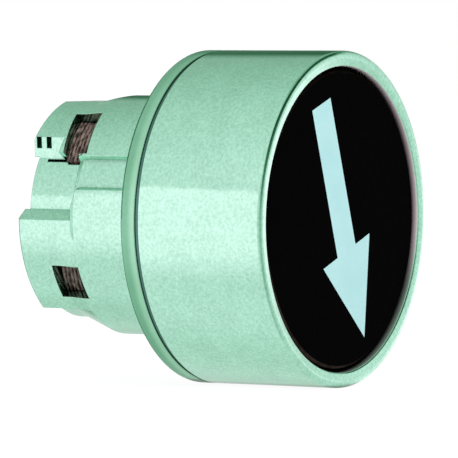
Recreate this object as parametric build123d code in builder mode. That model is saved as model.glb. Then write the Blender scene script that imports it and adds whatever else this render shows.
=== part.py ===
"""Flush push button head with a metal bezel, for a 22.3 mm panel hole.

The button's axis is Y. The cap faces -Y, the panel is the plane y = 0 and the neck goes through
it towards +Y. Z is up. Angles round the neck start on the -X side and rise towards +Z.
All sizes are in millimetres.
"""

import os
from math import cos, radians, sin

from build123d import *

os.makedirs("parts", exist_ok=True)

# ---- driving dimensions -------------------------------------------------------------------

# bezel
bezel_radius = 15.0
bezel_wall = 1.4
bezel_height = 14.25
bezel_edge = 0.5
bezel_inner_edge = 0.3
shadow_gap_width = 0.35
shadow_gap_depth = 0.6

# body in front of the panel
flange_thickness = 1.5
flange_front_edge = 0.15
flange_rear_edge = 0.25
floor_thickness = 2.4
spigot_length = 3.3
spigot_wall = 1.3
front_opening_radius = 7.4
sleeve_shoulder = 1.2

# neck behind the panel
neck_radius = 10.87
neck_length = 13.46
neck_bore = 8.5
neck_edge = 0.15
land_radius = 10.7
land_length = 3.86
neck_slope = 1.5
relief_radius = 9.45

# set-backs of the neck's features from its rear end
side_step_setback = 5.96
side_step_slope = 0.45
relief_setback = 0.5
relief_widening_setback = 3.26
circlip_setback = 1.56

# angles of the relieved stretches between the lands, for one side of the neck
relief_low_inner_angle = 4.6
relief_low_outer_angle = -1.0
relief_rear_inner_angle = 34.0
relief_rear_outer_angle = 42.0
relief_front_inner_angle = 31.5
relief_front_outer_angle = 32.5
step_low_inner_angle = -8.0
step_low_outer_angle = -11.5
bottom_relief_half_angle = 39.0
bottom_ramp_length = 3.5
top_flat_height = 10.3
top_flat_setback = 4.16
top_ramp_length = 1.8

# axial groove in the straight part of the neck
groove_depth = 0.5
groove_low_inner_angle = 15.6
groove_low_outer_angle = 13.8
groove_high_inner_angle = 30.0
groove_high_outer_angle = 31.0
groove_flare_angle = 7.0
groove_flare_length = 0.6

# bayonet windows in the neck, each set back from the neck's rear end
lower_window_angle = -33.0
lower_window_half_angle = 9.3
lower_window_setback = 3.02
lower_window_width = 2.88
upper_window_low_angle = 32.0
upper_window_high_angle = 59.6
upper_window_setback = 3.76
upper_window_width = 2.6
upper_window_rear_rise = 0.85
upper_window_front_rise = 0.6
slot_angle = 32.4
slot_height = 0.3
slot_setback = 1.46
notch_angle = 40.3
notch_width = 0.52
notch_height = 0.8
notch_floor_radius = 9.75
notch_setback = 0.51
notch_pitch = 1.05

# panel gasket and bezel O-ring
gasket_thickness = 0.6
gasket_width = 2.2
gasket_margin = 1.15
o_ring_section = 0.8
o_ring_groove_width = 1.0

# lip seal and its retainer
seal_thickness = 0.9
seal_lip_rise = 0.9
seal_lip_width = 0.55
seal_foot_radius = 6.2
seal_throat_radius = 7.0
retainer_thickness = 1.0
retainer_bore = 7.2

# guide sleeve and rear bush
sleeve_bore = 7.4
guide_length = 2.2
bush_thickness = 1.0
bush_key_width = 2.4
bush_key_length = 0.6
tongue_height = 1.1
tongue_setback = 0.3
tongue_side_gap = 0.15
tongue_front_gap = 0.08

# circlip in the neck
circlip_thickness = 0.6
circlip_width = 1.1
circlip_depth = 0.3
circlip_opening = 3.2
circlip_ear_radius = 1.0
circlip_ear_hole = 0.45
circlip_ear_inset = 0.5
circlip_ear_shift = 0.6

# button cap and arrow
cap_gap = 0.25
cap_recess = 0.4
cap_thickness = 1.5
cap_wall = 1.2
cap_depth = 4.0
cap_edge = 0.3
arrow_depth = 0.8
arrow_tilt = 19.1
arrow_length = 22.4
arrow_head_length = 8.5
arrow_head_width = 8.8
arrow_shaft_width = 3.4
arrow_tip_shift = 0.5
arrow_centre_x = 0.1
arrow_centre_z = -0.3

# cap carrier, its screw and the ring that holds the cap
carrier_thickness = 1.4
carrier_hub_radius = 6.0
carrier_hub_length = 1.5
carrier_hole_radius = 1.4
carrier_hole_count = 6
snap_ring_thickness = 0.5
snap_ring_width = 0.95
snap_ring_depth = 0.25
snap_ring_opening = 3.0
screw_radius = 1.5
screw_head_radius = 2.6
screw_head_height = 1.2
screw_head_edge = 0.4
screw_head_gap = 0.1
screw_slot_width = 0.6
screw_slot_depth = 0.5
screw_length = 5.0
screw_hole_spare = 1.0
socket_depth = 0.9
socket_width = 5.0
socket_height = 3.8

# plunger stem, its stop buffer and the pusher foot
stem_radius = 4.6
stem_flat = 3.6
stem_round_length = 3.3
collar_radius = 7.0
collar_thickness = 1.0
buffer_thickness = 0.5
tail_radius = 2.6
tail_groove_depth = 0.55
foot_radius = 7.2
foot_half_height = 5.5
foot_thickness = 1.2
foot_gap = 0.2
foot_recess_radius = 4.4
foot_recess_depth = 0.85
foot_clip_thickness = 0.5
foot_clip_radius = 3.9
foot_clip_opening = 2.4

# return spring
wire_diameter = 0.7
spring_mean_radius = 6.2
spring_turns = 4
washer_thickness = 0.3
washer_width = 2.1
washer_clearance = 0.15

# travel and clearances
travel = 4.3
fit = 0.05
running = 0.05
press_clearance = 0.03
stop_gap = 0.05

# how far a cutter stands out beyond the neck
cutter_margin = 6.5

# ---- positions worked out from them -------------------------------------------------------

rim_y = -bezel_height
flange_front_y = -flange_thickness
floor_y = -floor_thickness
shoulder_y = -sleeve_shoulder
spigot_front_y = flange_front_y - spigot_length
bezel_bore = bezel_radius - bezel_wall
spigot_radius = bezel_bore - press_clearance
spigot_bore = spigot_radius - spigot_wall

land_front_y = neck_length - land_length
straight_end_y = land_front_y - neck_slope
side_step_y = neck_length - side_step_setback
side_step_end_y = side_step_y + side_step_slope
relief_end_y = neck_length - relief_setback
relief_widening_y = neck_length - relief_widening_setback
cutter_radius = neck_radius + cutter_margin
cutter_end_y = neck_length + cutter_margin

seal_front_y = floor_y - seal_thickness
retainer_front_y = seal_front_y - retainer_thickness

cap_radius = bezel_bore - cap_gap
cap_face_y = rim_y + cap_recess
cap_inner_y = cap_face_y + cap_thickness
cap_end_y = cap_face_y + cap_depth
cap_bore = cap_radius - cap_wall
carrier_rear_y = cap_inner_y + carrier_thickness
hub_end_y = carrier_rear_y + carrier_hub_length

sleeve_radius = neck_bore - fit
bush_rear_y = neck_length - circlip_setback
sleeve_end_y = bush_rear_y - bush_thickness
guide_end_y = shoulder_y + guide_length
buffer_front_y = guide_end_y + stop_gap
collar_front_y = buffer_front_y + buffer_thickness
collar_rear_y = collar_front_y + collar_thickness
washer_rear_y = collar_rear_y + washer_thickness
foot_front_y = bush_rear_y + foot_gap
foot_rear_y = foot_front_y + foot_thickness


def across(y):
    """Plane square to the axis: local x to -X, local y up, normal to the rear."""
    return Plane(origin=(0, y, 0), x_dir=(-1, 0, 0), z_dir=(0, 1, 0))


# half-plane for turned profiles: local x is the radius, local y runs rearwards
turning_plane = Plane(origin=(0, 0, 0), x_dir=(0, 0, 1), z_dir=(-1, 0, 0))


def facing(angle):
    """Plane through the axis that looks outwards at an angle: local x up, local y rearwards."""
    upward = (sin(radians(angle)), 0, cos(radians(angle)))
    outward = (-cos(radians(angle)), 0, sin(radians(angle)))
    return Plane(origin=(0, 0, 0), x_dir=upward, z_dir=outward)


def polar(radius, angle):
    return radius * cos(radians(angle)), radius * sin(radians(angle))


def sloped_wall(floor_radius, floor_angle, top_radius, top_angle):
    """Two points of a wall's line, one below the floor and one above the top."""
    foot = Vector(*polar(floor_radius, floor_angle))
    top = Vector(*polar(top_radius, top_angle))
    rise = top - foot
    return foot - rise / 2, top + rise


def channel(floor_radius, top_radius, low, high):
    """Outline of a channel between two sloped walls, each an inner and an outer angle."""
    low_in, low_out = sloped_wall(floor_radius, low[0], top_radius, low[1])
    high_in, high_out = sloped_wall(floor_radius, high[0], top_radius, high[1])
    crown = Vector(*polar(cutter_radius, (low[1] + high[1]) / 2))
    return [low_in, low_out, crown, high_out, high_in]


def sector(start, end):
    """Outline of a sector round the axis, wide enough to cut through the neck."""
    reach = [polar(cutter_radius, angle) for angle in (start, (start + end) / 2, end)]
    return [(0, 0), *reach]


def ring(plane, outer, inner, thickness):
    """Plain flat ring, from its plane towards the rear."""
    with BuildPart() as blank:
        with BuildSketch(plane):
            Circle(outer)
            Circle(inner, mode=Mode.SUBTRACT)
        extrude(amount=thickness)
    return blank.part


def open_ring(plane, outer, inner, thickness, opening):
    """Flat ring with a gap at its lowest point."""
    with BuildPart() as blank:
        with BuildSketch(plane):
            Circle(outer)
            Circle(inner, mode=Mode.SUBTRACT)
            with Locations((0, -outer)):
                Rectangle(opening, outer, mode=Mode.SUBTRACT)
        extrude(amount=thickness)
    return blank.part


# ---- bezel --------------------------------------------------------------------------------

with BuildPart() as bezel:
    with BuildSketch(across(rim_y)):
        Circle(bezel_radius)
        Circle(bezel_bore, mode=Mode.SUBTRACT)
    extrude(amount=flange_front_y - rim_y)
    with BuildSketch(across(flange_front_y - shadow_gap_width)):
        Circle(bezel_radius)
        Circle(bezel_radius - shadow_gap_depth, mode=Mode.SUBTRACT)
    extrude(amount=shadow_gap_width, mode=Mode.SUBTRACT)
    front_edges = bezel.edges().group_by(Axis.Y)[0].sort_by(SortBy.RADIUS)
    fillet(front_edges[-1], bezel_edge)
    inner_edge = bezel.edges().group_by(Axis.Y)[0].sort_by(SortBy.RADIUS)[0]
    fillet(inner_edge, bezel_inner_edge)

# ---- body: flange, front spigot and neck --------------------------------------------------

gasket_outer = bezel_radius - gasket_margin
gasket_inner = gasket_outer - gasket_width
o_ring_y = (flange_front_y + spigot_front_y) / 2
o_ring_groove_radius = spigot_radius - o_ring_section
neck_plane = across(0)

with BuildPart() as side_relief:
    rear_outline = channel(
        relief_radius,
        land_radius,
        (relief_low_inner_angle, relief_low_outer_angle),
        (relief_rear_inner_angle, relief_rear_outer_angle),
    )
    with BuildSketch(across(relief_widening_y)):
        Polygon(*rear_outline, align=None)
        Circle(relief_radius, mode=Mode.SUBTRACT)
    extrude(amount=cutter_end_y - relief_widening_y)
    front_outline = channel(
        relief_radius,
        land_radius,
        (relief_low_inner_angle, relief_low_outer_angle),
        (relief_front_inner_angle, relief_front_outer_angle),
    )
    with BuildSketch(across(side_step_end_y)):
        Polygon(*front_outline, align=None)
        Circle(relief_radius, mode=Mode.SUBTRACT)
    extrude(amount=relief_widening_y - side_step_end_y)

with BuildPart() as side_step:
    # the neck steps down on a short slope, which runs out at its lower end
    step_outline = channel(
        land_radius,
        neck_radius,
        (step_low_inner_angle, step_low_outer_angle),
        (relief_front_inner_angle, relief_front_outer_angle),
    )
    with BuildSketch(across(side_step_y)):
        Polygon(*step_outline, align=None)
    extrude(amount=land_front_y - side_step_y)
    with BuildSketch(turning_plane):
        Polygon(
            (0, side_step_y),
            (neck_radius, side_step_y),
            (land_radius, side_step_end_y),
            (land_radius, land_front_y),
            (0, land_front_y),
            align=None,
        )
    revolve(axis=Axis.Y, mode=Mode.SUBTRACT)

with BuildPart() as axial_groove:
    groove_radius = neck_radius - groove_depth
    groove_outline = channel(
        groove_radius,
        neck_radius,
        (groove_low_inner_angle, groove_low_outer_angle),
        (groove_high_inner_angle, groove_high_outer_angle),
    )
    with BuildSketch(neck_plane):
        Polygon(*groove_outline, align=None)
    extrude(amount=side_step_end_y)
    # the mouth flares where the groove meets the relief
    flare_angle = (groove_low_outer_angle + groove_flare_angle) / 2
    flare_reach = neck_radius * sin(radians(groove_low_inner_angle - flare_angle))
    with BuildSketch(facing(flare_angle)):
        Polygon(
            (flare_reach, side_step_end_y - groove_flare_length),
            (flare_reach, side_step_end_y),
            (-flare_reach, side_step_end_y),
            align=None,
        )
    extrude(amount=cutter_radius)
    with BuildSketch(turning_plane):
        Polygon(
            (0, 0),
            (groove_radius, 0),
            (groove_radius, side_step_y),
            (groove_radius + land_radius - neck_radius, side_step_end_y),
            (0, side_step_end_y),
            align=None,
        )
    revolve(axis=Axis.Y, mode=Mode.SUBTRACT)

lower_half = land_radius * sin(radians(lower_window_half_angle))
lower_window_rear_y = neck_length - lower_window_setback
upper_angle = (upper_window_low_angle + upper_window_high_angle) / 2
upper_half = land_radius * sin(radians(upper_window_high_angle - upper_angle))
upper_window_rear_y = neck_length - upper_window_setback


def lower_outline(side_gap, front_gap, rear_gap):
    """Corners of the lower window, or of what stands in it with a gap on each side."""
    reach = lower_half - side_gap
    front = lower_window_rear_y - lower_window_width + front_gap
    rear = lower_window_rear_y - rear_gap
    return [(-reach, front), (reach, front), (reach, rear), (-reach, rear)]


def upper_outline(side_gap, front_gap, rear_gap):
    """The same for the upper window, whose front and rear edges rise by different amounts."""
    reach = upper_half - side_gap
    low_share = side_gap / (2 * upper_half)
    high_share = 1 - low_share
    front = upper_window_rear_y - upper_window_width + front_gap
    rear = upper_window_rear_y - rear_gap
    return [
        (-reach, front + low_share * upper_window_front_rise),
        (reach, front + high_share * upper_window_front_rise),
        (reach, rear + high_share * upper_window_rear_rise),
        (-reach, rear + low_share * upper_window_rear_rise),
    ]


with BuildPart() as windows:
    with BuildSketch(facing(lower_window_angle)):
        Polygon(*lower_outline(0, 0, 0), align=None)
    extrude(amount=cutter_radius)
    with BuildSketch(facing(upper_angle)):
        Polygon(*upper_outline(0, 0, 0), align=None)
    extrude(amount=cutter_radius)
    # the upper window runs on rearwards as a narrow slot along the foot of the relief's wall
    slot_front_y = upper_window_rear_y - upper_window_width / 2
    slot_rear_y = neck_length - slot_setback
    with BuildSketch(facing(slot_angle)):
        with Locations((0, (slot_front_y + slot_rear_y) / 2)):
            Rectangle(slot_height, slot_rear_y - slot_front_y)
    extrude(amount=cutter_radius)

with BuildPart() as notches:
    notch_y = neck_length - notch_setback
    with BuildSketch(facing(notch_angle)):
        with Locations((0, notch_y - notch_pitch), (0, notch_y)):
            Rectangle(notch_height, notch_width)
    extrude(amount=cutter_radius)
    with BuildSketch(neck_plane):
        Circle(notch_floor_radius)
    extrude(amount=cutter_end_y, mode=Mode.SUBTRACT)

with BuildPart() as side_setback:
    with BuildSketch(across(relief_end_y)):
        Polygon(*sector(relief_low_outer_angle, relief_rear_outer_angle), align=None)
        Circle(relief_radius + fit, mode=Mode.INTERSECT)
    extrude(amount=cutter_end_y - relief_end_y)

with BuildPart() as bottom_relief:
    with BuildSketch(turning_plane):
        with BuildLine():
            Polyline(
                (neck_radius, straight_end_y),
                (relief_radius, straight_end_y + bottom_ramp_length),
                (relief_radius, relief_end_y),
                (0, relief_end_y),
                (0, cutter_end_y),
                (cutter_radius, cutter_end_y),
                (cutter_radius, straight_end_y),
                close=True,
            )
        make_face()
    revolve(axis=Axis.Y)
    with BuildSketch(neck_plane):
        bottom_sector = sector(-90 - bottom_relief_half_angle, -90 + bottom_relief_half_angle)
        Polygon(*bottom_sector, align=None)
    extrude(amount=cutter_end_y, mode=Mode.INTERSECT)

top_flat_y = neck_length - top_flat_setback

with BuildPart() as top_flat:
    with BuildSketch(Plane.YZ):
        Polygon(
            (top_flat_y - top_ramp_length, neck_radius),
            (top_flat_y, top_flat_height),
            (cutter_end_y, top_flat_height),
            (cutter_end_y, cutter_radius),
            (top_flat_y - top_ramp_length, cutter_radius),
            align=None,
        )
    extrude(amount=cutter_radius, both=True)

circlip_groove_radius = neck_bore + circlip_depth + fit

with BuildPart() as body:
    with BuildSketch(turning_plane):
        with BuildLine():
            Polyline(
                (neck_bore, neck_length - neck_edge),
                (neck_bore + neck_edge, neck_length),
                (land_radius - neck_edge, neck_length),
                (land_radius, neck_length - neck_edge),
                (land_radius, land_front_y),
                (neck_radius, straight_end_y),
                (neck_radius, 0),
                (bezel_radius, 0),
                (bezel_radius, flange_front_y),
                (spigot_radius, flange_front_y),
                (spigot_radius, spigot_front_y),
                (spigot_bore, spigot_front_y),
                (spigot_bore, floor_y),
                (front_opening_radius, floor_y),
                (front_opening_radius, shoulder_y),
                (neck_bore, shoulder_y),
                close=True,
            )
        make_face()
    revolve(axis=Axis.Y)
    flange_edges = body.edges().filter_by(GeomType.CIRCLE).sort_by(SortBy.RADIUS)[-2:].sort_by(Axis.Y)
    fillet(flange_edges[0], flange_front_edge)
    rear_edge = body.edges().filter_by(GeomType.CIRCLE).sort_by(SortBy.RADIUS)[-2:].sort_by(Axis.Y)[-1]
    fillet(rear_edge, flange_rear_edge)
    with BuildSketch(across(-gasket_thickness)):
        Circle(gasket_outer)
        Circle(gasket_inner, mode=Mode.SUBTRACT)
    extrude(amount=gasket_thickness, mode=Mode.SUBTRACT)
    with BuildSketch(across(o_ring_y - o_ring_groove_width / 2)):
        Circle(spigot_radius)
        Circle(o_ring_groove_radius, mode=Mode.SUBTRACT)
    extrude(amount=o_ring_groove_width, mode=Mode.SUBTRACT)
    with BuildSketch(across(bush_rear_y)):
        Circle(circlip_groove_radius)
    extrude(amount=circlip_thickness + fit, mode=Mode.SUBTRACT)
    for cutter in (side_relief, side_step, axial_groove, windows, notches, side_setback):
        add(cutter.part, mode=Mode.SUBTRACT)
        add(cutter.part.mirror(Plane.YZ), mode=Mode.SUBTRACT)
    for cutter in (bottom_relief, top_flat):
        add(cutter.part, mode=Mode.SUBTRACT)

# ---- seals --------------------------------------------------------------------------------

with BuildPart() as panel_gasket:
    add(ring(across(-gasket_thickness), gasket_outer - fit, gasket_inner + fit, gasket_thickness))

with BuildPart() as bezel_o_ring:
    section_radius = (o_ring_section - press_clearance) / 2
    with BuildSketch(turning_plane):
        with Locations((o_ring_groove_radius + o_ring_section / 2, o_ring_y)):
            Circle(section_radius)
    revolve(axis=Axis.Y)

with BuildPart() as lip_seal:
    lip_y = seal_front_y - seal_lip_rise
    lip_radius = stem_radius + running
    with BuildSketch(turning_plane):
        with BuildLine():
            Polyline(
                (spigot_bore - fit, floor_y),
                (spigot_bore - fit, seal_front_y),
                (seal_throat_radius, seal_front_y),
                (lip_radius + seal_lip_width, lip_y),
                (lip_radius, lip_y),
                (lip_radius, lip_y + seal_lip_width),
                (seal_foot_radius, floor_y),
                close=True,
            )
        make_face()
    revolve(axis=Axis.Y)

with BuildPart() as seal_retainer:
    add(ring(across(retainer_front_y), spigot_bore - fit, retainer_bore, retainer_thickness))

# ---- guide sleeve, rear bush and circlip --------------------------------------------------

key_depth = bush_key_length + fit

with BuildPart() as tongues:
    # snap tongues that fill the front part of each window
    with BuildSketch(facing(lower_window_angle)):
        Polygon(*lower_outline(tongue_side_gap, tongue_front_gap, tongue_setback), align=None)
    extrude(amount=sleeve_radius + tongue_height)
    with BuildSketch(facing(upper_angle)):
        Polygon(*upper_outline(tongue_side_gap, tongue_front_gap, tongue_setback), align=None)
    extrude(amount=sleeve_radius + tongue_height)
    with BuildSketch(neck_plane):
        Circle(sleeve_radius - fit)
    extrude(amount=cutter_end_y, mode=Mode.SUBTRACT)
    with BuildSketch(neck_plane):
        Circle(sleeve_radius + tongue_height)
    extrude(amount=cutter_end_y, mode=Mode.INTERSECT)

with BuildPart() as guide_sleeve:
    with BuildSketch(across(shoulder_y)):
        Circle(sleeve_radius)
    extrude(amount=sleeve_end_y - shoulder_y)
    with BuildSketch(across(shoulder_y)):
        Circle(stem_radius + running)
    extrude(amount=guide_length, mode=Mode.SUBTRACT)
    with BuildSketch(across(guide_end_y)):
        Circle(sleeve_bore)
    extrude(amount=sleeve_end_y - guide_end_y, mode=Mode.SUBTRACT)
    with BuildSketch(across(sleeve_end_y - key_depth)):
        Rectangle(bush_key_width + 2 * fit, 2 * cutter_radius)
    extrude(amount=key_depth, mode=Mode.SUBTRACT)
    add(tongues.part)
    add(tongues.part.mirror(Plane.YZ))

with BuildPart() as rear_bush:
    with BuildSketch(across(sleeve_end_y)):
        Circle(sleeve_radius)
    extrude(amount=bush_thickness)
    with BuildSketch(across(sleeve_end_y - bush_key_length)):
        Circle(sleeve_radius)
        Circle(sleeve_bore, mode=Mode.SUBTRACT)
        Rectangle(bush_key_width, 2 * cutter_radius, mode=Mode.INTERSECT)
    extrude(amount=bush_key_length)
    with BuildSketch(across(sleeve_end_y)):
        Circle(stem_radius + running)
        Rectangle(2 * cutter_radius, 2 * (stem_flat + running), mode=Mode.INTERSECT)
    extrude(amount=bush_thickness, mode=Mode.SUBTRACT)

circlip_outer = neck_bore + circlip_depth
circlip_inner = circlip_outer - circlip_width
ear_centre_radius = circlip_inner - circlip_ear_inset
ear_offset = circlip_opening / 2 + circlip_ear_shift

with BuildPart() as rear_circlip:
    with BuildSketch(across(bush_rear_y)):
        Circle(circlip_outer)
        Circle(circlip_inner, mode=Mode.SUBTRACT)
        with Locations((0, -circlip_outer)):
            Rectangle(circlip_opening, circlip_outer, mode=Mode.SUBTRACT)
        with Locations((ear_offset, -ear_centre_radius), (-ear_offset, -ear_centre_radius)):
            Circle(circlip_ear_radius)
            Circle(circlip_ear_hole, mode=Mode.SUBTRACT)
    extrude(amount=circlip_thickness)

# ---- button cap with its arrow ------------------------------------------------------------

arrow_plane = across(cap_face_y)
shaft_half = arrow_shaft_width / 2
head_half = arrow_head_width / 2
arrow_tip = -arrow_length / 2
arrow_neck = arrow_tip + arrow_head_length

with BuildPart() as arrow_inlay:
    with BuildSketch(arrow_plane):
        with Locations(Location((-arrow_centre_x, arrow_centre_z, 0), (0, 0, -arrow_tilt))):
            Polygon(
                (-shaft_half, arrow_length / 2),
                (-shaft_half, arrow_neck),
                (-head_half, arrow_neck),
                (-arrow_tip_shift, arrow_tip),
                (head_half, arrow_neck),
                (shaft_half, arrow_neck),
                (shaft_half, arrow_length / 2),
                align=None,
            )
    extrude(amount=arrow_depth)

snap_groove_radius = cap_bore + snap_ring_depth + fit
snap_ring_front_y = carrier_rear_y + fit / 2

with BuildPart() as button_cap:
    with BuildSketch(arrow_plane):
        Circle(cap_radius)
    extrude(amount=cap_depth)
    chamfer(button_cap.edges().group_by(Axis.Y)[0], cap_edge)
    with BuildSketch(across(cap_inner_y)):
        Circle(cap_bore)
    extrude(amount=cap_end_y - cap_inner_y, mode=Mode.SUBTRACT)
    with BuildSketch(across(carrier_rear_y)):
        Circle(snap_groove_radius)
    extrude(amount=snap_ring_thickness + fit, mode=Mode.SUBTRACT)
    add(arrow_inlay.part, mode=Mode.SUBTRACT)

with BuildPart() as cap_snap_ring:
    snap_outer = cap_bore + snap_ring_depth
    add(
        open_ring(
            across(snap_ring_front_y),
            snap_outer,
            snap_outer - snap_ring_width,
            snap_ring_thickness,
            snap_ring_opening,
        )
    )

# ---- cap carrier and its screw ------------------------------------------------------------

screw_seat_y = cap_inner_y + screw_head_height + screw_head_gap

with BuildPart() as cap_carrier:
    with BuildSketch(across(cap_inner_y)):
        Circle(cap_bore - fit)
        with PolarLocations((cap_bore + carrier_hub_radius) / 2, carrier_hole_count):
            Circle(carrier_hole_radius, mode=Mode.SUBTRACT)
    extrude(amount=carrier_thickness)
    with BuildSketch(across(carrier_rear_y)):
        Circle(carrier_hub_radius)
    extrude(amount=carrier_hub_length)
    with BuildSketch(across(cap_inner_y)):
        Circle(screw_head_radius + fit)
    extrude(amount=screw_seat_y - cap_inner_y, mode=Mode.SUBTRACT)
    with BuildSketch(across(screw_seat_y)):
        Circle(screw_radius + fit)
    extrude(amount=hub_end_y - screw_seat_y, mode=Mode.SUBTRACT)
    with BuildSketch(across(hub_end_y - socket_depth)):
        Rectangle(socket_width, socket_height)
    extrude(amount=socket_depth, mode=Mode.SUBTRACT)

with BuildPart() as carrier_screw:
    with BuildSketch(across(screw_seat_y - screw_head_height)):
        Circle(screw_head_radius)
    extrude(amount=screw_head_height)
    fillet(carrier_screw.edges().group_by(Axis.Y)[0], screw_head_edge)
    with BuildSketch(across(screw_seat_y)):
        Circle(screw_radius)
    extrude(amount=screw_length)
    with BuildSketch(across(screw_seat_y - screw_head_height)):
        Rectangle(2 * cutter_radius, screw_slot_width)
    extrude(amount=screw_slot_depth, mode=Mode.SUBTRACT)

# ---- plunger stem, buffer, washer, foot and foot clip -------------------------------------

stem_front_y = hub_end_y - socket_depth + fit
screw_hole_end_y = screw_seat_y + screw_length + screw_hole_spare

with BuildPart() as plunger_stem:
    with BuildSketch(across(hub_end_y)):
        Circle(stem_radius)
    extrude(amount=foot_front_y - hub_end_y)
    with BuildSketch(across(collar_front_y)):
        Circle(collar_radius)
    extrude(amount=collar_thickness)
    with BuildSketch(across(stem_front_y)):
        Rectangle(socket_width - 2 * fit, socket_height - 2 * fit)
    extrude(amount=hub_end_y - stem_front_y)
    with BuildSketch(across(collar_rear_y + stem_round_length)):
        Circle(stem_radius + fit)
        Rectangle(2 * cutter_radius, 2 * stem_flat, mode=Mode.SUBTRACT)
    extrude(amount=foot_front_y - collar_rear_y - stem_round_length, mode=Mode.SUBTRACT)
    with BuildSketch(across(foot_front_y)):
        Circle(tail_radius)
    extrude(amount=foot_thickness)
    with BuildSketch(across(foot_rear_y - foot_recess_depth)):
        Circle(tail_radius)
        Circle(tail_radius - tail_groove_depth, mode=Mode.SUBTRACT)
    extrude(amount=foot_clip_thickness, mode=Mode.SUBTRACT)
    with BuildSketch(across(stem_front_y)):
        Circle(screw_radius + fit)
    extrude(amount=screw_hole_end_y - stem_front_y, mode=Mode.SUBTRACT)

with BuildPart() as stop_buffer:
    add(ring(across(buffer_front_y), collar_radius, stem_radius + fit, buffer_thickness))

with BuildPart() as spring_washer:
    washer_inner = stem_radius + washer_clearance
    add(ring(across(collar_rear_y), washer_inner + washer_width, washer_inner, washer_thickness))

with BuildPart() as pusher_foot:
    with BuildSketch(across(foot_front_y)):
        Circle(foot_radius)
        Rectangle(2 * cutter_radius, 2 * foot_half_height, mode=Mode.INTERSECT)
        Circle(tail_radius + fit, mode=Mode.SUBTRACT)
    extrude(amount=foot_thickness)
    with BuildSketch(across(foot_rear_y - foot_recess_depth)):
        Circle(foot_recess_radius)
    extrude(amount=foot_recess_depth, mode=Mode.SUBTRACT)

with BuildPart() as foot_clip:
    clip_inner = tail_radius - tail_groove_depth + fit
    add(
        open_ring(
            across(foot_rear_y - foot_recess_depth),
            foot_clip_radius,
            clip_inner,
            foot_clip_thickness,
            foot_clip_opening,
        )
    )

# ---- return spring ------------------------------------------------------------------------

# The wire's centre line is a helix made of quarter turns. Each quarter turn is two tangent arcs
# that meet halfway, so the turns join smoothly.
wire_radius = wire_diameter / 2
spring_front_y = washer_rear_y + stop_gap + wire_radius
spring_rear_y = sleeve_end_y - stop_gap - wire_radius
spring_rise = (spring_rear_y - spring_front_y) / spring_turns


def helix_point(turn):
    angle = 360 * turn
    x, z = polar(spring_mean_radius, angle)
    return Vector(-x, spring_front_y + spring_rise * turn, z)


def helix_tangent(turn):
    angle = radians(360 * turn)
    around = radians(360) * spring_mean_radius
    return Vector(around * sin(angle), spring_rise, around * cos(angle)).normalized()


def biarc(start, start_tangent, end, end_tangent):
    """Two arcs, tangent to both end directions and to each other."""
    span = end - start
    total = start_tangent + end_tangent
    lean = 2 * (1 - start_tangent.dot(end_tangent))
    along = span.dot(total)
    reach = (-along + (along * along + lean * span.dot(span)) ** 0.5) / lean
    joint = (start + end + (start_tangent - end_tangent) * reach) * 0.5
    first = TangentArc(start, joint, tangent=start_tangent)
    TangentArc(joint, end, tangent=first % 1)


with BuildPart() as return_spring:
    with BuildLine() as wire_line:
        for quarter in range(4 * spring_turns):
            here = quarter / 4
            ahead = (quarter + 1) / 4
            biarc(helix_point(here), helix_tangent(here), helix_point(ahead), helix_tangent(ahead))
    with BuildSketch(Plane(origin=helix_point(0), z_dir=helix_tangent(0))):
        Circle(wire_radius)
    sweep()

wire_length = wire_line.wires()[0].length
swept_ratio = return_spring.part.volume / (wire_length * radians(180) * wire_radius**2)
steps_per_turn = 72
samples = [helix_point(index / steps_per_turn) for index in range(steps_per_turn * spring_turns + 1)]
least_gap = min(
    (samples[a] - samples[b]).length - wire_diameter
    for a in range(len(samples))
    for b in range(a + steps_per_turn // 2, len(samples))
)
print(f"return spring: wire {wire_length:.1f} mm, volume ratio {swept_ratio:.4f}")
print(f"return spring at rest: least gap {least_gap:.2f} mm")
closed_pitch = (spring_rear_y - spring_front_y - travel) / spring_turns
print(f"return spring when pressed: pitch {closed_pitch:.2f} mm for wire {wire_diameter} mm")

# ---- write the pieces ---------------------------------------------------------------------

pieces = {
    "bezel": bezel,
    "body": body,
    "panel_gasket": panel_gasket,
    "bezel_o_ring": bezel_o_ring,
    "lip_seal": lip_seal,
    "seal_retainer": seal_retainer,
    "guide_sleeve": guide_sleeve,
    "rear_bush": rear_bush,
    "rear_circlip": rear_circlip,
    "return_spring": return_spring,
    "button_cap": button_cap,
    "arrow_inlay": arrow_inlay,
    "cap_snap_ring": cap_snap_ring,
    "cap_carrier": cap_carrier,
    "carrier_screw": carrier_screw,
    "plunger_stem": plunger_stem,
    "stop_buffer": stop_buffer,
    "spring_washer": spring_washer,
    "pusher_foot": pusher_foot,
    "foot_clip": foot_clip,
}
for name, piece in pieces.items():
    piece.part.label = name
    export_step(piece.part, f"parts/{name}.step")
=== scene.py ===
"""Looks of a flush push button head: satin metal bezel and neck, black cap with a white arrow.

Everything is in metres in the frame of the solids: the button's axis is Y, the cap faces -Y, the
panel is at y = 0, the neck runs to +Y and +Z is up. Angles round the neck start on the -X side
and rise towards +Z.
"""

import math

import bpy
from mathutils import Matrix, Vector


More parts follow.
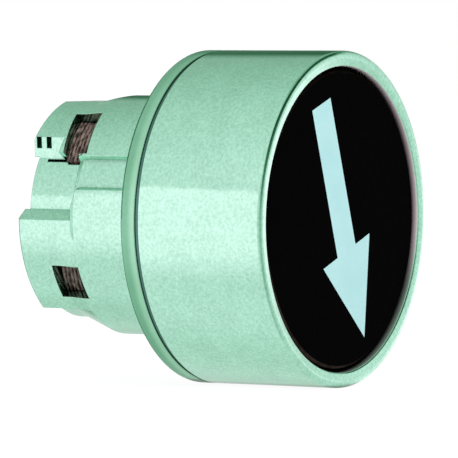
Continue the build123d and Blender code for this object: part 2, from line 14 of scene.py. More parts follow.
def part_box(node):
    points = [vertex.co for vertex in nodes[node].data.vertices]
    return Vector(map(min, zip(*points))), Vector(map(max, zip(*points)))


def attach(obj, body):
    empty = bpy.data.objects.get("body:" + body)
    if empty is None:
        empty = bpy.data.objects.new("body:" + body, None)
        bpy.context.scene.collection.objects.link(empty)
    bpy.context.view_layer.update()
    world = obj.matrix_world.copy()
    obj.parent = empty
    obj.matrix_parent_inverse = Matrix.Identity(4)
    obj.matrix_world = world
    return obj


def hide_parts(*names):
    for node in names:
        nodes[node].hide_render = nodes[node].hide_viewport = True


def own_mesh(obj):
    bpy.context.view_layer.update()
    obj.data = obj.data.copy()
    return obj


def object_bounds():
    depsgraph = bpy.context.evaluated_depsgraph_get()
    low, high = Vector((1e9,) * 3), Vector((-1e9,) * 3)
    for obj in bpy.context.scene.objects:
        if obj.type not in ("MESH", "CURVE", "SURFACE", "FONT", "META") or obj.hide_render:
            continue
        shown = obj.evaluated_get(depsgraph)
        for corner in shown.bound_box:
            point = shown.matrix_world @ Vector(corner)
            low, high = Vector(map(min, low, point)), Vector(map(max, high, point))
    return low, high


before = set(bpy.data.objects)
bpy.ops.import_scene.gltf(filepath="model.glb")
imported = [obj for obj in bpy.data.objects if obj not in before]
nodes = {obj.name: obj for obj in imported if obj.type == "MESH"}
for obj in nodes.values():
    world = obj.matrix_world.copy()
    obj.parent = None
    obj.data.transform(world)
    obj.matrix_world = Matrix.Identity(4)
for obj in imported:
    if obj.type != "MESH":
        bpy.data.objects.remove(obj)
cad_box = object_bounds()
scene = bpy.context.scene
scene.view_settings.view_transform = "Standard"

MM = 0.001

# ---- sizes of the shapes ------------------------------------------------------------------

bezel_low, bezel_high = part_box("bezel")
BEZEL_RADIUS = bezel_high.x
BEZEL_WALL = 1.4 * MM
BEZEL_BORE = BEZEL_RADIUS - BEZEL_WALL
RIM_Y = bezel_low.y
RIM_SHOULDER = 0.50 * MM
RIM_SHOULDER_DROP = 0.14 * MM
RIM_SHOULDER_RADIUS = 1.0 * MM
RIM_INNER_DROP = 0.12 * MM
RIM_EDGE = 0.28 * MM
RIM_INNER_EDGE = 0.24 * MM
GAP_REAR_Y = bezel_high.y
GAP_FRONT_Y = GAP_REAR_Y - 0.36 * MM
GAP_RADIUS = BEZEL_RADIUS - 0.17 * MM
GAP_EDGE = 0.06 * MM
SMALL_EDGE = 0.05 * MM

gasket_low, gasket_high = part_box("panel_gasket")
GASKET_OUTER = gasket_high.x
GASKET_WIDTH = 2.1 * MM
GASKET_GROOVE_WIDTH = 0.34 * MM
GASKET_GROOVE_DEPTH = 0.2 * MM
GASKET_GROOVES_AT = (2 / 3, 1 / 3)  # shares of the ring's width, outer groove first

spring_low, spring_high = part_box("return_spring")
WIRE_RADIUS = 0.35 * MM
SPRING_RADIUS = spring_high.x - WIRE_RADIUS
SPRING_TURNS = 4

TONGUE_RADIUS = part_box("guide_sleeve")[1].z + 1.1 * MM
RIB_THICKNESS = 0.16 * MM
# each row's name, start and sweep in degrees, rise, front end and pitch, and number of ribs
TONGUE_RIB_ROWS = (
    ("lower_tongue_ribs", -43, 19.5, -0.6 * MM, 8.5 * MM, 0.40 * MM, 6),
    ("upper_tongue_ribs", 31.2, 29.4, 0.72 * MM, 7.4 * MM, 0.38 * MM, 7),
)

CAP_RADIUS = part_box("button_cap")[1].x
FLANGE_REAR_Y = 0.0

# how finely round shapes are divided, and the angle from which an edge stays crisp
BEZEL_SEGMENTS = 256
GASKET_SEGMENTS = 128
ARC_STEPS = 6
SPRING_STEPS_PER_TURN = 64
WIRE_SIDES = 20
RIB_STEPS = 24
RIB_SIDES = 12
CRISP_ANGLE = math.radians(32)

# ---- camera -------------------------------------------------------------------------------

CAMERA_AZIMUTH = math.radians(-59.2)
CAMERA_ELEVATION = math.radians(2.39)
CAMERA_DISTANCE = 450 * MM
CAMERA_TARGET = Vector((0, -2.24, -1.10)) * MM
CAMERA_NEAR_CLIP = 0.01
FRAME_PIXELS = 458
FOCAL_PIXELS = 4996
SENSOR_WIDTH = 36


def add_camera():
    back = Vector(
        (
            math.sin(CAMERA_AZIMUTH) * math.cos(CAMERA_ELEVATION),
            -math.cos(CAMERA_AZIMUTH) * math.cos(CAMERA_ELEVATION),
            math.sin(CAMERA_ELEVATION),
        )
    )
    data = bpy.data.cameras.new("camera")
    data.sensor_width = SENSOR_WIDTH
    data.lens = FOCAL_PIXELS / FRAME_PIXELS * SENSOR_WIDTH
    data.clip_start = CAMERA_NEAR_CLIP
    camera = bpy.data.objects.new("camera", data)
    camera.location = CAMERA_TARGET + back * CAMERA_DISTANCE
    camera.rotation_euler = back.to_track_quat("Z", "Y").to_euler()
    scene.collection.objects.link(camera)
    scene.camera = camera


add_camera()

# ---- node trees ---------------------------------------------------------------------------


class Tree:
    """A node tree and a short way to add nodes to it."""

    def __init__(self, tree):
        self.tree = tree

    def feed(self, socket, value):
        """Links another node's output to a socket, or sets the socket to a plain value."""
        if isinstance(value, bpy.types.NodeSocket):
            self.tree.links.new(value, socket)
        else:
            socket.default_value = value

    def node(self, kind, *values, settings=None, result=0, **inputs):
        """Adds a node and returns one of its outputs.

        Inputs are given in their order or by name, with an underscore for a space.
        """
        node = self.tree.nodes.new(kind)
        for name, value in (settings or {}).items():
            setattr(node, name, value)
        for socket, value in zip(node.inputs, values):
            self.feed(socket, value)
        for label, value in inputs.items():
            self.feed(node.inputs[label.replace("_", " ")], value)
        return node.outputs[result]


class ShaderTree(Tree):
    """A shader tree with short ways to add arithmetic, for materials, the floor and the world."""

    def math(self, operation, *values):
        return self.node("ShaderNodeMath", *values, settings={"operation": operation})

    def vector(self, operation, *values, result="Vector"):
        settings = {"operation": operation}
        return self.node("ShaderNodeVectorMath", *values, settings=settings, result=result)

    def dot(self, vector, other):
        return self.vector("DOT_PRODUCT", vector, other, result="Value")

    def product(self, *values):
        result = values[0]
        for value in values[1:]:
            result = self.math("MULTIPLY", result, value)
        return result

    def smooth(self, value, low, high, to_low=0.0, to_high=1.0):
        """A soft step: to_low where the value is at low, to_high where it is at high."""
        return self.node(
            "ShaderNodeMapRange",
            settings={"interpolation_type": "SMOOTHSTEP"},
            result="Result",
            Value=value,
            From_Min=low,
            From_Max=high,
            To_Min=to_low,
            To_Max=to_high,
        )

    def mix(self, share, first, second, blend="MIX"):
        settings = {"data_type": "RGBA", "blend_type": blend}
        return self.node(
            "ShaderNodeMix", settings=settings, result="Result", Factor=share, A=first, B=second
        )


# ---- colours ------------------------------------------------------------------------------


def srgb(red, green, blue):
    """Linear colour of a colour given as 0 to 255 screen values."""
    linear = []
    for value in (red, green, blue):
        value = value / 255
        linear.append(value / 12.92 if value <= 0.04045 else ((value + 0.055) / 1.055) ** 2.4)
    return (*linear, 1.0)


WHITE = (1, 1, 1, 1)
BEZEL_TONES = (srgb(164, 216, 191), srgb(188, 239, 216))
# painted shade: the bore's colour, darker at the bottom and paler at the top
BORE_SHADE_TONES = (srgb(104, 116, 108), srgb(198, 184, 189))  # at the bottom and at the top
# painted shade in the gap between the bezel's foot and the flange
GROOVE_PAINTED_SHADE = srgb(84, 126, 116)
CASTING_TONES = (srgb(160, 212, 187), srgb(184, 235, 212))
# painted shade on the flange, darker at its rear; below it, painted light on the flange's top
FLANGE_TONES = (srgb(112, 176, 140), srgb(152, 209, 175))  # at its rear and at its front
FLANGE_TOP_LIGHT = srgb(176, 232, 204)
CAP_TONES = (srgb(1, 1, 1), srgb(3, 2, 2))
# painted highlight on the cap's edge chamfer
CAP_EDGE_HIGHLIGHT = srgb(66, 56, 50)
ARROW_TONES = (srgb(183, 232, 234), srgb(191, 237, 238))
DARK_PLASTIC_TONES = (srgb(38, 30, 25), srgb(58, 47, 40))
RUBBER_TONES = (srgb(20, 20, 20), srgb(34, 34, 33))
STEEL_TONES = (srgb(150, 158, 154), srgb(196, 204, 200))
TONGUE_TONES = (srgb(52, 34, 30), srgb(150, 128, 120))

# ---- materials ----------------------------------------------------------------------------

# levels between which noise turns from its low to its high side
NOISE_SPREAD = (0.30, 0.70)
RAMP_SPREAD = (0.35, 0.65)
FULL_SPREAD = (0.0, 1.0)
NOISE_DETAIL = 3.0
FINE_DETAIL = 2.0

SHELTER_SAMPLES = 8
EDGE_SAMPLES = 6

# satin metal: sizes of its patches, and how dark clouds and the painted shade in sheltered corners
# get
SPECKLE_SIZE = 0.26 * MM
CLOUD_SIZE = 2.4 * MM
GLOSS_SIZE = 0.5 * MM
CLOUD_SHADE = 0.94
CREVICE_SHADE_SPREAD = (0.42, 0.96)
CREVICE_SHADE_LEVEL = 0.32

# bezel: how far outside the bore the metal starts, heights between which the bore's painted shade
# turns from dark to paler, and depths from the rim between which painted shade darkens the bore
BORE_EDGE = (0.4 * SMALL_EDGE, 2 * SMALL_EDGE)
BORE_HEIGHTS = (-7 * MM, -1 * MM)
BORE_DEPTHS = (0.24 * MM, 0.84 * MM)
BORE_SHADE = 0.04

# casting: set-backs from the flange's rear for painted shade, and heights where painted light pales
# it
FLANGE_FRONT_PART = (-1.25 * MM, -0.6 * MM)
FLANGE_HEIGHTS = (3 * MM, 12 * MM)
FLANGE_TOP_LIGHT_SHARE = 0.35
AS_CAST_SHARE = 0.9
AS_CAST_ROUGHNESS = 0.22

# cap: insets of the painted highlight ring from the cap's edge, its patches, and its brightest side
HIGHLIGHT_INNER = (0.34 * MM, 0.24 * MM)
HIGHLIGHT_OUTER = (0.12 * MM, 0.04 * MM)
PATCH_SIZE = 1.6 * MM
PATCH_SPREAD = (0.35, 0.6)
PATCH_LEAST = 0.5
HIGHLIGHT_SIDE = (-0.42, 0, -0.91)
HIGHLIGHT_REACH = (0.55 * CAP_RADIUS, 0.85 * CAP_RADIUS)
HIGHLIGHT_LEAST = 0.1

# tongues: noise levels between which plastic turns to pale streaks
PALE_STREAK_SPREAD = (0.42, 0.66)


class Finish(ShaderTree):
    """A material with a Principled shader and short ways to add what it needs."""

    def __init__(self, name):
        self.material = bpy.data.materials.new(name)
        self.material.use_nodes = True
        super().__init__(self.material.node_tree)
        self.shader = self.tree.nodes["Principled BSDF"]
        self.place = self.node("ShaderNodeTexCoord", result="Object")
        self.normal = None

    def set(self, label, value):
        self.feed(self.shader.inputs[label], value)

    def noise(self, size, detail=NOISE_DETAIL, stretch=None):
        """Noise whose patches are about so many metres across."""
        place = self.place
        if stretch:
            place = self.node("ShaderNodeMapping", Scale=stretch, Vector=place)
        return self.node(
            "ShaderNodeTexNoise", result="Fac", Scale=1 / size, Detail=detail, Vector=place
        )

    def uneven(self, noise, low, high):
        """A value that wanders between low and high with the noise."""
        return self.smooth(noise, *NOISE_SPREAD, low, high)

    def ramp(self, factor, tones, spread=RAMP_SPREAD):
        colour = self.node("ShaderNodeValToRGB", Fac=factor)
        for end, place, tone in zip(colour.node.color_ramp.elements, spread, tones):
            end.position = place
            end.color = tone
        return colour

    def radius(self):
        """Distance from the button's axis."""
        return self.vector("LENGTH", self.vector("MULTIPLY", self.place, (1, 0, 1)), result="Value")

    def along(self):
        """Place along the button's axis."""
        return self.dot(self.place, (0, 1, 0))

    def height(self):
        return self.dot(self.place, (0, 0, 1))

    def shelter(self, distance):
        """1 in the open, towards 0 in corners and narrow gaps."""
        settings = {"samples": SHELTER_SAMPLES}
        return self.node(
            "ShaderNodeAmbientOcclusion", settings=settings, result="AO", Distance=distance
        )

    def soften_edges(self, radius):
        settings = {"samples": EDGE_SAMPLES}
        self.normal = self.node("ShaderNodeBevel", settings=settings, Radius=radius)

    def bump(self, height, depth, strength):
        grain = self.node("ShaderNodeBump", Strength=strength, Distance=depth, Height=height)
        if self.normal:
            self.feed(grain.node.inputs["Normal"], self.normal)
        self.set("Normal", grain)


def satin_metal(name, tones, rough_low, rough_high, crevice_shade_reach):
    """Fine-blasted plated casting: speckled colour, uneven gloss and painted shade in the corners.
    """
    finish = Finish(name)
    finish.set("Metallic", 1.0)
    speckle = finish.ramp(finish.noise(SPECKLE_SIZE, FINE_DETAIL), tones, NOISE_SPREAD)
    cloud = finish.uneven(finish.noise(CLOUD_SIZE), CLOUD_SHADE, 1.0)
    # painted shade: corners and narrow gaps are darkened by how sheltered they are
    crevice_shade = finish.smooth(finish.shelter(crevice_shade_reach), *CREVICE_SHADE_SPREAD, CREVICE_SHADE_LEVEL, 1.0)
    shade = finish.product(cloud, crevice_shade)
    gloss = finish.uneven(finish.noise(GLOSS_SIZE), rough_low, rough_high)
    return finish, speckle, shade, gloss


def bezel_finish():
    """Satin metal outside; painted shade in the bore, deepening towards the cap, and in the foot's
    groove.
    """
    finish, colour, shade, gloss = satin_metal(
        "satin_bezel", BEZEL_TONES, rough_low=0.07, rough_high=0.13, crevice_shade_reach=0.5 * MM
    )
    bore = finish.smooth(finish.radius(), *(BEZEL_BORE + place for place in BORE_EDGE), 1, 0)
    # painted shade: the bore is darker at the bottom, paler at the top, and darkens with depth from
    # the rim
    bore_painted_shade = finish.ramp(finish.smooth(finish.height(), *BORE_HEIGHTS), BORE_SHADE_TONES, FULL_SPREAD)
    depths = (RIM_Y + depth for depth in BORE_DEPTHS)
    bore_painted_shade = finish.mix(1.0, bore_painted_shade, finish.smooth(finish.along(), *depths, 1, BORE_SHADE), "MULTIPLY")
    # painted shade: the foot's groove is darkened
    groove = finish.product(
        finish.smooth(finish.along(), GAP_FRONT_Y - SMALL_EDGE, GAP_FRONT_Y),
        finish.smooth(finish.radius(), GAP_RADIUS + SMALL_EDGE, BEZEL_RADIUS, 1, 0),
    )
    colour = finish.mix(groove, colour, GROOVE_PAINTED_SHADE)
    plated = finish.mix(1.0, colour, shade, "MULTIPLY")
    finish.set("Base Color", finish.mix(bore, plated, bore_painted_shade))
    finish.set("Metallic", finish.math("SUBTRACT", 1.0, bore))
    finish.set("Roughness", gloss)
    finish.bump(finish.noise(0.2 * MM, FINE_DETAIL), depth=0.0006 * MM, strength=0.6)
    return finish.material


def casting_finish():
    """Satin metal on the machined neck; the flange is as cast and duller, with painted shade and
    top light.
    """
    finish, colour, shade, gloss = satin_metal(
        "satin_casting", CASTING_TONES, rough_low=0.09, rough_high=0.16, crevice_shade_reach=0.7 * MM
    )
    along = finish.along()
    as_cast = finish.product(
        finish.smooth(along, FLANGE_REAR_Y - SMALL_EDGE, FLANGE_REAR_Y, 1, 0),
        finish.smooth(finish.radius(), BEZEL_BORE, BEZEL_BORE + 5 * SMALL_EDGE),
    )
    # painted shade: the flange darkens towards its rear, and painted light makes it paler on top
    front_part = finish.smooth(along, *(FLANGE_REAR_Y + place for place in FLANGE_FRONT_PART), 1, 0)
    cast_and_painted_tone = finish.ramp(front_part, FLANGE_TONES, FULL_SPREAD)
    painted_top_light = finish.smooth(finish.height(), *FLANGE_HEIGHTS, 0, FLANGE_TOP_LIGHT_SHARE)
    cast_and_painted_tone = finish.mix(painted_top_light, cast_and_painted_tone, FLANGE_TOP_LIGHT)
    colour = finish.mix(finish.product(as_cast, AS_CAST_SHARE), colour, cast_and_painted_tone)
    rough = finish.math("ADD", gloss, finish.product(as_cast, AS_CAST_ROUGHNESS))
    finish.set("Base Color", finish.mix(1.0, colour, shade, "MULTIPLY"))
    finish.set("Roughness", rough)
    finish.soften_edges(0.09 * MM)
    finish.bump(finish.noise(0.22 * MM, FINE_DETAIL), depth=0.001 * MM, strength=0.6)
    return finish.material


def cap_finish():
    """Deep black moulded plastic with a painted dull brown highlight along the cap's edge."""
    finish = Finish("cap_black")
    finish.set("Specular IOR Level", 0.002)
    black = finish.ramp(finish.noise(0.5 * MM), CAP_TONES)
    edge = finish.product(
        finish.smooth(finish.radius(), *(CAP_RADIUS - inset for inset in HIGHLIGHT_INNER)),
        finish.smooth(finish.radius(), *(CAP_RADIUS - inset for inset in HIGHLIGHT_OUTER), 1, 0),
    )
    patches = finish.smooth(finish.noise(PATCH_SIZE), *PATCH_SPREAD, PATCH_LEAST, 1.0)
    brightest_side = finish.smooth(finish.dot(finish.place, HIGHLIGHT_SIDE), *HIGHLIGHT_REACH, HIGHLIGHT_LEAST, 1.0)
    # painted highlight: a dull brown ring on the cap's edge, strongest on one side
    painted_edge_highlight = finish.product(edge, patches, brightest_side)
    finish.set("Base Color", finish.mix(painted_edge_highlight, black, CAP_EDGE_HIGHLIGHT))
    finish.set("Roughness", finish.uneven(finish.noise(0.9 * MM), 0.26, 0.36))
    finish.bump(finish.noise(0.4 * MM, FINE_DETAIL), depth=0.002 * MM, strength=0.5)
    return finish.material


def moulded(name, tones, rough_low, rough_high, specular, grain=0.5 * MM, depth=0.01 * MM):
    """Moulded plastic or rubber with a fine spark-eroded grain."""
    finish = Finish(name)
    finish.set("Specular IOR Level", specular)
    finish.set("Base Color", finish.ramp(finish.noise(6 * grain), tones))
    finish.set("Roughness", finish.uneven(finish.noise(3 * grain), rough_low, rough_high))
    finish.bump(finish.noise(grain, FINE_DETAIL), depth, strength=0.5)
    return finish.material


def drawn_steel():
    """Bright spring steel with fine lines from drawing."""
    finish = Finish("spring_steel")
    finish.set("Metallic", 1.0)
    lines = finish.noise(0.45 * MM, FINE_DETAIL, stretch=(1, 6, 1))
    finish.set("Base Color", finish.ramp(lines, STEEL_TONES))
    finish.set("Roughness", finish.uneven(lines, 0.22, 0.38))
    finish.bump(lines, depth=0.004 * MM, strength=0.5)
    return finish.material


def tongue_finish():
    """Brown-black plastic with pale streaks along the ribs."""
    finish = Finish("rib_brown")
    finish.set("Specular IOR Level", 0.5)
    streaks = finish.noise(0.5 * MM, stretch=(0.6, 2.2, 0.6))
    finish.set("Base Color", finish.ramp(streaks, TONGUE_TONES, PALE_STREAK_SPREAD))
    finish.set("Roughness", finish.uneven(streaks, 0.30, 0.50))
    finish.bump(streaks, depth=0.02 * MM, strength=0.5)
    return finish.material


bezel_metal = bezel_finish()
cast_metal = casting_finish()
cap_plastic = cap_finish()
arrow_plastic = moulded(
    "arrow_white", ARROW_TONES, 0.40, 0.52, specular=0.3, grain=0.4 * MM, depth=0.004 * MM
)
dark_plastic = moulded("dark_plastic", DARK_PLASTIC_TONES, 0.38, 0.55, specular=0.4)
rubber = moulded(
    "black_rubber", RUBBER_TONES, 0.60, 0.75, specular=0.25, grain=0.7 * MM, depth=0.02 * MM
)
steel = drawn_steel()
rib_plastic = tongue_finish()

node_finish = {
    bezel_metal: ["bezel"],
    cast_metal: ["body"],
    cap_plastic: ["button_cap"],
    arrow_plastic: ["arrow_inlay"],
    rubber: ["panel_gasket", "bezel_o_ring", "lip_seal", "stop_buffer"],
    rib_plastic: ["guide_sleeve"],
    dark_plastic: ["seal_retainer", "rear_bush", "cap_carrier", "plunger_stem", "pusher_foot"],
    steel: [
        "rear_circlip",
        "return_spring",
        "cap_snap_ring",
        "carrier_screw",
        "spring_washer",
        "foot_clip",
    ],
}
for material, names in node_finish.items():
    for name in names:
        for slot in nodes[name].material_slots:
            slot.material = material

# ---- shapes grown by rules ----------------------------------------------------------------


class GrowthTree(Tree):
    """A geometry tree that ends in Realize Instances and Set Material."""

    def __init__(self, name, **sizes):
        super().__init__(bpy.data.node_groups.new(name, "GeometryNodeTree"))
        self.sockets = {}
        for direction in ("INPUT", "OUTPUT"):
            self.add_socket("Geometry", direction, "Geometry")
        for label, kind in sizes.items():
            label = label.replace("_", " ")
            self.sockets[label] = self.add_socket(label, "INPUT", kind).identifier
        self.start = self.tree.nodes.new("NodeGroupInput")
        self.end = self.tree.nodes.new("NodeGroupOutput")

    def add_socket(self, label, direction, kind):
        return self.tree.interface.new_socket(
            label, in_out=direction, socket_type=f"NodeSocket{kind}"
        )

    def size(self, label):
        return self.start.outputs[label]

    def sweep(self, curve, section, caps=False):
        return self.node(
            "GeometryNodeCurveToMesh", Curve=curve, Profile_Curve=section, Fill_Caps=caps
        )

    def circle(self, radius, sides):
        return self.node("GeometryNodeCurvePrimitiveCircle", Radius=radius, Resolution=sides)

    def lay_along_y(self, geometry):
        """Turns what runs along Z so that it runs along Y, from the size called Front."""
        place = self.node("ShaderNodeCombineXYZ", Y=self.size("Front"))
        return self.node(
            "GeometryNodeTransform",
            Geometry=geometry,
            Rotation=(-math.pi / 2, 0, 0),
            Translation=place,
        )

    def smooth(self, geometry):
        return self.node("GeometryNodeSetShadeSmooth", Geometry=geometry)

    def finish(self, geometry):
        real = self.node("GeometryNodeRealizeInstances", Geometry=geometry)
        painted = self.node(
            "GeometryNodeSetMaterial", Geometry=real, Material=self.size("Material")
        )
        self.feed(self.end.inputs[0], painted)

    def grow(self, name, seed=None, **values):
        """Runs the tree on a seed mesh and returns the result as a plain mesh object."""
        source = bpy.data.objects.new(name, seed or bpy.data.meshes.new(name))
        scene.collection.objects.link(source)
        modifier = source.modifiers.new("growth", "NODES")
        modifier.node_group = self.tree
        for label, value in values.items():
            modifier[self.sockets[label.replace("_", " ")]] = value
        evaluated = source.evaluated_get(bpy.context.evaluated_depsgraph_get())
        mesh = bpy.data.meshes.new_from_object(evaluated)
        source.modifiers.remove(modifier)
        source.data = mesh
        return source


# turned pieces: the profile's x is outwards from the radius, its y is rearwards
turning = GrowthTree(
    "turned_piece", Radius="Float", Segments="Int", Sharp_Angle="Float", Material="Material"
)


def build_turning():
    profile = turning.node("GeometryNodeMeshToCurve", Mesh=turning.size("Geometry"))
    path = turning.circle(turning.size("Radius"), turning.size("Segments"))
    shell = turning.sweep(path, profile)
    laid = turning.node("GeometryNodeTransform", Geometry=shell, Rotation=(math.pi / 2, 0, 0))
    angle = turning.node("GeometryNodeInputMeshEdgeAngle", result="Unsigned Angle")
    sharp = turning.node("FunctionNodeCompare", A=angle, B=turning.size("Sharp Angle"))
    creased = turning.node(
        "GeometryNodeSetShadeSmooth",
        settings={"domain": "EDGE"},
        Geometry=turning.smooth(laid),
        Selection=sharp,
        Shade_Smooth=False,
    )
    turning.finish(creased)


def rounded(corners):
    """Closed outline through (x, y, radius) corners, each rounded with an arc of its radius."""
    points = []
    for index, (x, y, radius) in enumerate(corners):
        corner = Vector((x, y))
        before = (Vector(corners[index - 1][:2]) - corner).normalized()
        after = (Vector(corners[(index + 1) % len(corners)][:2]) - corner).normalized()
        if radius == 0:
            points.append(corner)
            continue
        half = before.angle(after) / 2
        centre = corner + (before + after).normalized() * radius / math.sin(half)
        start = corner + before * radius / math.tan(half) - centre
        end = corner + after * radius / math.tan(half) - centre
        turn = start.angle_signed(end)
        for step in range(ARC_STEPS + 1):
            spoke = start.copy()
            spoke.rotate(Matrix.Rotation(-turn * step / ARC_STEPS, 2))
            points.append(centre + spoke)
    return points


def turned_piece(name, corners, base_radius, material, segments):
    """Ring turned from an outline of (radius, y, rounding) corners, front inner corner first."""
    points = rounded([(radius - base_radius, y, rounding) for radius, y, rounding in corners])
    seed = bpy.data.meshes.new(name)
    count = len(points)
    edges = [(index, (index + 1) % count) for index in range(count)]
    seed.from_pydata([(*point, 0) for point in points], edges, [])
    return turning.grow(
        name,
        seed,
        Radius=base_radius,
        Segments=segments,
        Sharp_Angle=CRISP_ANGLE,
        Material=material,
    )


def add_bezel():
    """Bezel with a low crown near the outside of its rim and a soft outer shoulder."""
    corners = [
        (BEZEL_BORE, RIM_Y + RIM_INNER_DROP, RIM_INNER_EDGE),
        (BEZEL_RADIUS - RIM_SHOULDER, RIM_Y, RIM_SHOULDER_RADIUS),
        (BEZEL_RADIUS, RIM_Y + RIM_SHOULDER_DROP, RIM_EDGE),
        (BEZEL_RADIUS, GAP_FRONT_Y, GAP_EDGE),
        (GAP_RADIUS, GAP_FRONT_Y, SMALL_EDGE),
        (GAP_RADIUS, GAP_REAR_Y, 0),
        (BEZEL_BORE, GAP_REAR_Y, 0),
    ]
    bezel = turned_piece("bezel_shell", corners, BEZEL_BORE, bezel_metal, BEZEL_SEGMENTS)
    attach(bezel, "housing")
    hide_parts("bezel")


def add_gasket():
    """Flat rubber ring with two shallow grooves in the face that meets the panel."""
    inner = GASKET_OUTER - GASKET_WIDTH
    front, rear = gasket_low.y, gasket_high.y
    corners = [
        (inner, front, SMALL_EDGE),
        (GASKET_OUTER, front, SMALL_EDGE),
        (GASKET_OUTER, rear, 2 * SMALL_EDGE),
    ]
    floor = rear - GASKET_GROOVE_DEPTH
    half = GASKET_GROOVE_WIDTH / 2
    for share in GASKET_GROOVES_AT:
        middle = inner + GASKET_WIDTH * share
        for offset, y in ((half, rear), (half / 2, floor), (-half / 2, floor), (-half, rear)):
            corners.append((middle + offset, y, SMALL_EDGE))
    corners.append((inner, rear, 2 * SMALL_EDGE))
    gasket = turned_piece("gasket_ring", corners, inner, rubber, GASKET_SEGMENTS)
    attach(gasket, "housing")
    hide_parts("panel_gasket")


# a round wire wound into a spring, its axis along Y
winding = GrowthTree(
    "wound_wire",
    Radius="Float",
    Wire="Float",
    Turns="Float",
    Length="Float",
    Front="Float",
    Material="Material",
)


def build_winding():
    helix = winding.node(
        "GeometryNodeCurveSpiral",
        Resolution=SPRING_STEPS_PER_TURN,
        Rotations=winding.size("Turns"),
        Start_Radius=winding.size("Radius"),
        End_Radius=winding.size("Radius"),
        Height=winding.size("Length"),
    )
    tube = winding.sweep(helix, winding.circle(winding.size("Wire"), WIRE_SIDES), caps=True)
    winding.finish(winding.smooth(winding.lay_along_y(tube)))


def add_spring():
    """Return spring wound from round wire between the ends of the part's spring."""
    front = spring_low.y + WIRE_RADIUS
    rear = spring_high.y - WIRE_RADIUS
    spring = winding.grow(
        "spring_coil",
        Radius=SPRING_RADIUS,
        Wire=WIRE_RADIUS,
        Turns=float(SPRING_TURNS),
        Length=rear - front,
        Front=front,
        Material=steel,
    )
    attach(spring, "housing")
    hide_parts("return_spring")
    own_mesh(spring)


# a row of ribs round part of a sleeve, with a second row mirrored on the other side
ribbing = GrowthTree(
    "rib_row",
    Radius="Float",
    Thickness="Float",
    Start="Float",
    Sweep="Float",
    Rise="Float",
    Front="Float",
    Ribs="Int",
    Pitch="Float",
    Material="Material",
)


def build_ribbing():
    arc = ribbing.node(
        "GeometryNodeCurveArc",
        Resolution=RIB_STEPS,
        Radius=ribbing.size("Radius"),
        Start_Angle=ribbing.size("Start"),
        Sweep_Angle=ribbing.size("Sweep"),
    )
    share = ribbing.node("GeometryNodeSplineParameter", result="Factor")
    lift = ribbing.node(
        "ShaderNodeMath", share, ribbing.size("Rise"), settings={"operation": "MULTIPLY"}
    )
    offset = ribbing.node("ShaderNodeCombineXYZ", Z=lift)
    leaning = ribbing.node("GeometryNodeSetPosition", Geometry=arc, Offset=offset)
    section = ribbing.circle(ribbing.size("Thickness"), RIB_SIDES)
    rib = ribbing.sweep(leaning, section, caps=True)
    step = ribbing.node("ShaderNodeCombineXYZ", Z=ribbing.size("Pitch"))
    row = ribbing.node("GeometryNodeMeshLine", Count=ribbing.size("Ribs"), Offset=step)
    ribs = ribbing.node("GeometryNodeInstanceOnPoints", Points=row, Instance=rib)
    real = ribbing.node("GeometryNodeRealizeInstances", Geometry=ribbing.lay_along_y(ribs))
    other = ribbing.node("GeometryNodeTransform", Geometry=real, Scale=(-1, 1, 1))
    turned = ribbing.node("GeometryNodeFlipFaces", Mesh=other)
    both = ribbing.node("GeometryNodeJoinGeometry", real)
    ribbing.feed(both.node.inputs[0], turned)
    ribbing.finish(ribbing.smooth(both))


def add_tongue_ribs():
    """Snap ribs on the sleeve's tongues, seen through the neck's windows."""
    for name, start, sweep, rise, front, pitch, count in TONGUE_RIB_ROWS:
        ribs = ribbing.grow(
            name,
            Radius=TONGUE_RADIUS,
            Thickness=RIB_THICKNESS,
            Start=math.radians(180 + start),
            Sweep=math.radians(sweep),
            Rise=rise,
            Front=front,
            Ribs=count,
            Pitch=pitch,
            Material=rib_plastic,
        )
        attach(ribs, "housing")


build_turning()
build_winding()
build_ribbing()
add_bezel()
add_gasket()
add_spring()
add_tongue_ribs()

# ---- light, floor and background ----------------------------------------------------------

ROOM_LIGHT = (0.62, 0.62, 0.62, 1)

# The room that metal mirrors is white, with one bright panel. A step is (axis, low, high, value
# at low, value at high) over the parts of a direction; lean is the y part less half the z part.
TO_PANEL = (-0.862, 0.507, 0)
PANEL_SPREAD = (0.80, 0.93)
PANEL_STEPS = (("z", 0.298, 0.312, 1, 0), ("z", -0.62, -0.26, 0, 1))
PANEL_STRENGTH = 0.48
BESIDE_STEPS = (("x", 0.85, 0.93, 0, 1), ("z", -0.06, 0.05, 0.60, -0.12))
CEILING_STEPS = (("z", 0.13, 0.50, 0, 1),)
CEILING_SHADE = (0.46, 0.28)  # per unit of x, and at x = 0
LEAN = -0.5
SHADES = {
    "behind": (("y", 0.62, 0.76, 0, 0.9), ("x", -0.15, 0.10, 0, 1)),
    "above back": (
        ("x", 0.68, 0.80, 0, 1),
        ("y", 0.05, 0.35, 0, 1),
        ("z", -0.02, 0.08, 0, 0.92),
    ),
    "below front": (
        ("lean", -0.80, -0.72, 1, 0),
        ("z", -0.06, 0.12, 0.22, 0.88),
        ("z", 0.30, 0.50, 1, 0.3),
        ("x", -0.10, 0.15, 0, 1),
    ),
    "low front": (("y", -0.84, -0.70, 0.30, 0),),
    "above front": (
        ("x", 0.83, 0.89, 1, 0),
        ("y", -0.15, 0.15, 1, 0),
        ("z", 0.14, 0.30, 0, 0.97),
        ("z", 0.40, 0.75, 1, 0.2),
        ("x", -0.10, 0.15, 0, 1),
    ),
    "far floor": (("x", -0.25, 0.20, 0, 1), ("z", -0.20, -0.05, 0.18, 0)),
    "low back": (
        ("x", 0.55, 0.84, 0, 1),
        ("y", 0.20, 0.40, 0, 1),
        ("z", -0.20, -0.05, 0.24, 0),
    ),
}
DARKEST = 0.01
ROOM_TINT = {"Red": 1.0, "Green": 0.67, "Blue": 0.86}  # powers of the tone

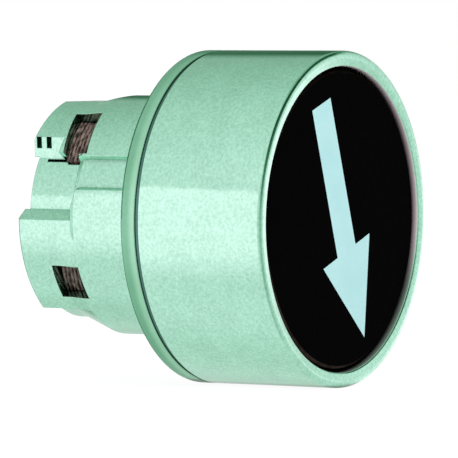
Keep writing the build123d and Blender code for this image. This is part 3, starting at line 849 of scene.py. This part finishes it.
FLOOR_HEIGHT = cad_box[0][2]
FLOOR_SIZE = 3.0
FLOOR_COLOUR = (0.9, 0.9, 0.9, 1)
FLOOR_ROUGHNESS = 0.9
FLOOR_GLOW = 1.1
FLOOR_GLOW_SHARE = 0.85

KEY_LIGHT_PLACE = Vector((-0.25, -0.30, 0.35))
KEY_LIGHT_SIZE = 0.25
KEY_LIGHT_POWER = 1.3


def studio_reflection(room, coordinate):
    """What metal sees in each direction: a white room with a soft panel and dim corners."""
    direction = room.vector("NORMALIZE", coordinate)
    parts = {
        "x": room.dot(direction, (1, 0, 0)),
        "y": room.dot(direction, (0, 1, 0)),
        "z": room.dot(direction, (0, 0, 1)),
    }
    parts["lean"] = room.math("MULTIPLY_ADD", parts["z"], LEAN, parts["y"])

    def steps(rows):
        return [room.smooth(parts[axis], *limits) for axis, *limits in rows]

    # just over 1, so that the level share of a direction is never 0
    level = room.math("SQRT", room.math("SUBTRACT", 1.0001, room.product(parts["z"], parts["z"])))
    facing = room.math("DIVIDE", room.dot(direction, TO_PANEL), level)
    panel = room.product(room.smooth(facing, *PANEL_SPREAD), *steps(PANEL_STEPS))
    ceiling = room.product(
        *steps(CEILING_STEPS), room.math("MULTIPLY_ADD", parts["x"], *CEILING_SHADE)
    )
    tone = room.math("MULTIPLY_ADD", panel, PANEL_STRENGTH, 1.0)
    tone = room.math("ADD", room.product(*steps(BESIDE_STEPS)), tone)
    tone = room.math("SUBTRACT", tone, ceiling)
    for rows in SHADES.values():
        tone = room.product(tone, room.math("SUBTRACT", 1.0, room.product(*steps(rows))))
    tone = room.math("MAXIMUM", tone, DARKEST)
    tints = {channel: room.math("POWER", tone, power) for channel, power in ROOM_TINT.items()}
    return room.node("ShaderNodeCombineColor", **tints)


def set_world():
    world = bpy.data.worlds.new("studio")
    scene.world = world
    world.use_nodes = True
    room = ShaderTree(world.node_tree)
    ray = room.node("ShaderNodeLightPath").node.outputs
    mirrored = studio_reflection(room, room.node("ShaderNodeTexCoord", result="Generated"))
    falling = room.mix(ray["Is Glossy Ray"], ROOM_LIGHT, mirrored)
    seen = room.mix(ray["Is Camera Ray"], falling, WHITE)
    room.feed(room.tree.nodes["Background"].inputs["Color"], seen)


def floor_material():
    """White that glows a little to the camera, so that the shadow on it stays faint."""
    material = bpy.data.materials.new("floor")
    material.use_nodes = True
    paint = ShaderTree(material.node_tree)
    shader = paint.tree.nodes["Principled BSDF"]
    paint.feed(shader.inputs["Base Color"], FLOOR_COLOUR)
    paint.feed(shader.inputs["Roughness"], FLOOR_ROUGHNESS)
    glow = paint.node("ShaderNodeEmission", Color=WHITE, Strength=FLOOR_GLOW)
    camera_ray = paint.node("ShaderNodeLightPath", result="Is Camera Ray")
    share = paint.math("MULTIPLY", camera_ray, FLOOR_GLOW_SHARE)
    surface = paint.node("ShaderNodeMixShader", share, shader.outputs["BSDF"], glow)
    paint.feed(paint.tree.nodes["Material Output"].inputs["Surface"], surface)
    return material


def add_floor():
    """Floor that shows a faint shadow; metal sees the room through it."""
    half = FLOOR_SIZE / 2
    mesh = bpy.data.meshes.new("floor")
    corners = [(-half, -half), (half, -half), (half, half), (-half, half)]
    mesh.from_pydata([(x, y, FLOOR_HEIGHT) for x, y in corners], [], [(0, 1, 2, 3)])
    mesh.materials.append(floor_material())
    floor = bpy.data.objects.new("floor", mesh)
    floor.visible_glossy = False
    scene.collection.objects.link(floor)


def add_key_light():
    """Broad soft light from the upper left front, which the metal doesn't mirror."""
    data = bpy.data.lights.new("key", "AREA")
    data.size = KEY_LIGHT_SIZE
    data.energy = KEY_LIGHT_POWER
    light = bpy.data.objects.new("key", data)
    light.location = KEY_LIGHT_PLACE
    light.rotation_euler = KEY_LIGHT_PLACE.to_track_quat("Z", "Y").to_euler()
    light.visible_camera = False
    light.visible_glossy = False
    scene.collection.objects.link(light)


set_world()
add_floor()
add_key_light()
